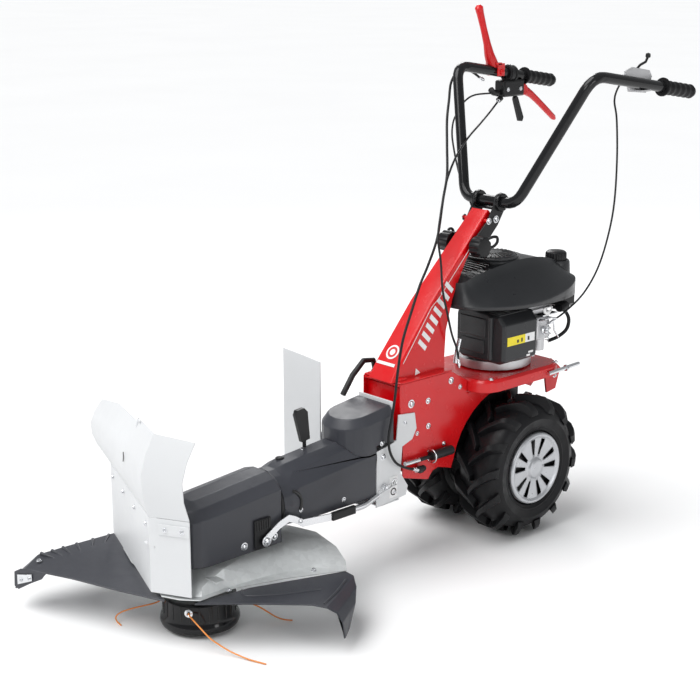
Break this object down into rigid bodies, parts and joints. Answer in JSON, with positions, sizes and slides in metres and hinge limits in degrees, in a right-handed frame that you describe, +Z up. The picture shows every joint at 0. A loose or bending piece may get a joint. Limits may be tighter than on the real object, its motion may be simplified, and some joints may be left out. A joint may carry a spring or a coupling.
{
  "type": "brush mower",
  "caption": "Walk-behind brush mower: engine over ribbed wheels, shaft arm to a line-trimmer head with swivelling guard and white deflector, tilting handlebar with levers",
  "frame": {"origin": "on the ground under the cutter's axis, the centre of the line head's glide button", "axes": "+Z up, -Y the direction of travel, +X the operator's left"},
  "size_m": [0.7355, 1.5425, 1.1898],
  "materials": {
    "air_filter": "dark grey moulded plastic",
    "arm_tube": "cast aluminium",
    "axle": "zinc-plated steel",
    "brake_lever": "gloss red paint",
    "carburettor": "cast aluminium",
    "chassis_frame": "gloss red paint",
    "clamp_knob": "black plastic",
    "clutch_cable": "black plastic",
    "clutch_lever": "gloss red paint",
    "column": "gloss red paint",
    "coupling_plunger": "satin black paint",
    "crankcase": "cast aluminium",
    "crankshaft": "zinc-plated steel",
    "cutter_drum": "gloss black plastic",
    "deflector_flare": "white powder coat",
    "deflector_plate": "white powder coat",
    "drive_cable": "black plastic",
    "drive_shaft": "zinc-plated steel",
    "engine_plate": "gloss red paint",
    "engine_shroud": "dark grey moulded plastic",
    "far_flap": "dark grey moulded plastic",
    "fuel_cap": "black plastic",
    "fuel_tank": "black plastic",
    "gear_case": "cast aluminium",
    "gear_lever": "satin black paint",
    "grip_left": "black rubber",
    "grip_right": "black rubber",
    "guard_deck": "galvanised sheet",
    "handlebar": "gloss black paint",
    "handlebar_bracket": "satin black paint",
    "head_cover": "dark grey moulded plastic",
    "hitch_bracket": "white powder coat",
    "hitch_pin": "zinc-plated steel",
    "lever_clamp": "black plastic",
    "line_spool": "black plastic",
    "lock_bracket": "satin black paint",
    "lock_grip": "black plastic",
    "lock_lever": "zinc-plated steel",
    "middle_cover": "dark grey moulded plastic",
    "muffler": "satin black paint",
    "near_flap": "dark grey moulded plastic",
    "rear_cover": "dark grey moulded plastic",
    "rear_guard": "white powder coat",
    "recoil_cover": "gloss black plastic",
    "release_lever": "black plastic",
    "rim_left": "silver painted hub",
    "rim_right": "silver painted hub",
    "selector_lever": "black plastic",
    "spindle": "zinc-plated steel",
    "starter_grip": "black plastic",
    "throttle_body": "cast aluminium",
    "throttle_cable": "black plastic",
    "throttle_lever": "black plastic",
    "transmission_case": "satin black paint",
    "trimmer_line_far": "amber nylon line",
    "trimmer_line_front": "amber nylon line",
    "trimmer_line_near": "amber nylon line",
    "tyre_left": "ribbed black tyre",
    "tyre_right": "ribbed black tyre"
  },
  "bodies": {
    "chassis": {"chassis_frame": "chassis_frame", "column": "column", "engine_plate": "engine_plate", "transmission_case": "transmission_case", "axle": "axle", "hitch_bracket": "hitch_bracket", "arm_tube": "arm_tube", "middle_cover": "middle_cover", "rear_cover": "rear_cover", "rear_guard": "rear_guard", "crankcase": "crankcase", "engine_shroud": "engine_shroud", "recoil_cover": "recoil_cover", "fuel_tank": "fuel_tank", "air_filter": "air_filter", "carburettor": "carburettor", "muffler": "muffler", "clutch_cable": "clutch_cable", "drive_cable": "drive_cable", "throttle_cable": "throttle_cable"},
    "wheel_left": {"tyre_left": "tyre_left", "rim_left": "rim_left"},
    "wheel_right": {"tyre_right": "tyre_right", "rim_right": "rim_right"},
    "head": {"head_cover": "head_cover", "gear_case": "gear_case", "deflector_plate": "deflector_plate", "deflector_flare": "deflector_flare", "lock_bracket": "lock_bracket"},
    "cutter": {"spindle": "spindle", "cutter_drum": "cutter_drum", "line_spool": "line_spool", "trimmer_line_front": "trimmer_line_front", "trimmer_line_far": "trimmer_line_far", "trimmer_line_near": "trimmer_line_near"},
    "drive_line": {"drive_shaft": "drive_shaft"},
    "guard": {"guard_deck": "guard_deck", "near_flap": "near_flap", "far_flap": "far_flap"},
    "tilt_lock": {"lock_lever": "lock_lever", "lock_grip": "lock_grip"},
    "selector": {"selector_lever": "selector_lever"},
    "gear_selector": {"gear_lever": "gear_lever"},
    "coupling_lock": {"coupling_plunger": "coupling_plunger"},
    "arm_pin": {"hitch_pin": "hitch_pin"},
    "engine_shaft": {"crankshaft": "crankshaft"},
    "starter": {"starter_grip": "starter_grip"},
    "tank_cap": {"fuel_cap": "fuel_cap"},
    "handlebar_set": {"handlebar": "handlebar", "grip_left": "grip_left", "grip_right": "grip_right", "handlebar_bracket": "handlebar_bracket", "lever_clamp": "lever_clamp", "throttle_body": "throttle_body"},
    "knob": {"clamp_knob": "clamp_knob"},
    "clutch_control": {"clutch_lever": "clutch_lever"},
    "brake_control": {"brake_lever": "brake_lever"},
    "release_control": {"release_lever": "release_lever"},
    "throttle_control": {"throttle_lever": "throttle_lever"}
  },
  "joints": [
    {"name": "wheel_left_spin", "type": "hinge", "parent": "chassis", "child": "wheel_left", "pos_m": [0.0925, 0.849, 0.165], "axis": [1, 0, 0], "continuous": true},
    {"name": "wheel_right_spin", "type": "hinge", "parent": "chassis", "child": "wheel_right", "pos_m": [-0.0925, 0.849, 0.165], "axis": [1, 0, 0], "continuous": true},
    {"name": "head_tilt", "type": "hinge", "parent": "chassis", "child": "head", "pos_m": [0, 0.1, 0.22], "axis": [0, 1, 0], "range_deg": [-8, 8]},
    {"name": "cutter_spin", "type": "hinge", "parent": "head", "child": "cutter", "pos_m": [0, 0, 0.1], "axis": [0, 0, 1], "continuous": true},
    {"name": "drive_shaft_spin", "type": "hinge", "parent": "chassis", "child": "drive_line", "pos_m": [0, 0.4, 0.22], "axis": [0, 1, 0], "continuous": true},
    {"name": "guard_turn", "type": "hinge", "parent": "head", "child": "guard", "pos_m": [0, 0, 0.1], "axis": [0, 0, 1], "range_deg": [-66, 0]},
    {"name": "tilt_lock_lever", "type": "hinge", "parent": "head", "child": "tilt_lock", "pos_m": [0.0785, 0.11, 0.172], "axis": [1, 0, 0], "range_deg": [0, 40]},
    {"name": "selector_lever_swing", "type": "hinge", "parent": "chassis", "child": "selector", "pos_m": [-0.012, 0.291, 0.3048], "axis": [1, 0, 0], "range_deg": [-12, 12]},
    {"name": "gear_lever_swing", "type": "hinge", "parent": "chassis", "child": "gear_selector", "pos_m": [-0.0825, 0.565, 0.398], "axis": [1, 0, 0], "range_deg": [-12, 12]},
    {"name": "coupling_plunger_pull", "type": "slide", "parent": "chassis", "child": "coupling_lock", "axis": [0, 1, 0], "range_m": [0, 0.02], "stiffness_N_per_m": 400},
    {"name": "hitch_pin_pull", "type": "slide", "parent": "chassis", "child": "arm_pin", "axis": [1, 0, 0], "range_m": [0, 0.13]},
    {"name": "crankshaft_spin", "type": "hinge", "parent": "chassis", "child": "engine_shaft", "pos_m": [0, 0.862, 0.45], "axis": [0, 0, 1], "continuous": true},
    {"name": "starter_pull", "type": "slide", "parent": "chassis", "child": "starter", "axis": [0, 1, 0], "range_m": [0, 0.25], "stiffness_N_per_m": 12},
    {"name": "fuel_cap_turn", "type": "hinge", "parent": "chassis", "child": "tank_cap", "pos_m": [0.04, 1.029, 0.62], "axis": [0, 0, 1], "range_deg": [0, 270]},
    {"name": "handlebar_tilt", "type": "hinge", "parent": "chassis", "child": "handlebar_set", "pos_m": [0, 0.795, 0.729], "axis": [1, 0, 0], "range_deg": [-12, 12], "deforming": ["clutch_cable", "drive_cable", "throttle_cable"]},
    {"name": "clamp_knob_turn", "type": "hinge", "parent": "handlebar_set", "child": "knob", "pos_m": [0.049, 0.756, 0.678], "axis": [1, 0, 0], "range_deg": [0, 270]},
    {"name": "clutch_lever_pull", "type": "hinge", "parent": "handlebar_set", "child": "clutch_control", "pos_m": [-0.2055, 1.078, 1.0275], "axis": [-1, 0, 0], "range_deg": [0, 55], "stiffness_Nm_per_rad": 0.8, "springref_deg": -11.46},
    {"name": "brake_lever_pull", "type": "hinge", "parent": "handlebar_set", "child": "brake_control", "pos_m": [-0.2055, 1.1705, 0.98], "axis": [1, 0, 0], "range_deg": [0, 24], "stiffness_Nm_per_rad": 0.8, "springref_deg": -11.46},
    {"name": "release_lever_pull", "type": "hinge", "parent": "handlebar_set", "child": "release_control", "pos_m": [-0.2035, 1.148, 0.9585], "axis": [1, 0, 0], "range_deg": [-20, 0], "stiffness_Nm_per_rad": 0.6, "springref_deg": 11.46},
    {"name": "throttle_lever_move", "type": "hinge", "parent": "handlebar_set", "child": "throttle_control", "pos_m": [0.1799, 1.096, 1.04], "axis": [1, 0, 0], "range_deg": [-20, 20]}
  ],
  "couplings": [
    {"joint": "drive_shaft_spin", "follows": "cutter_spin", "ratio": 2.4}
  ]
}
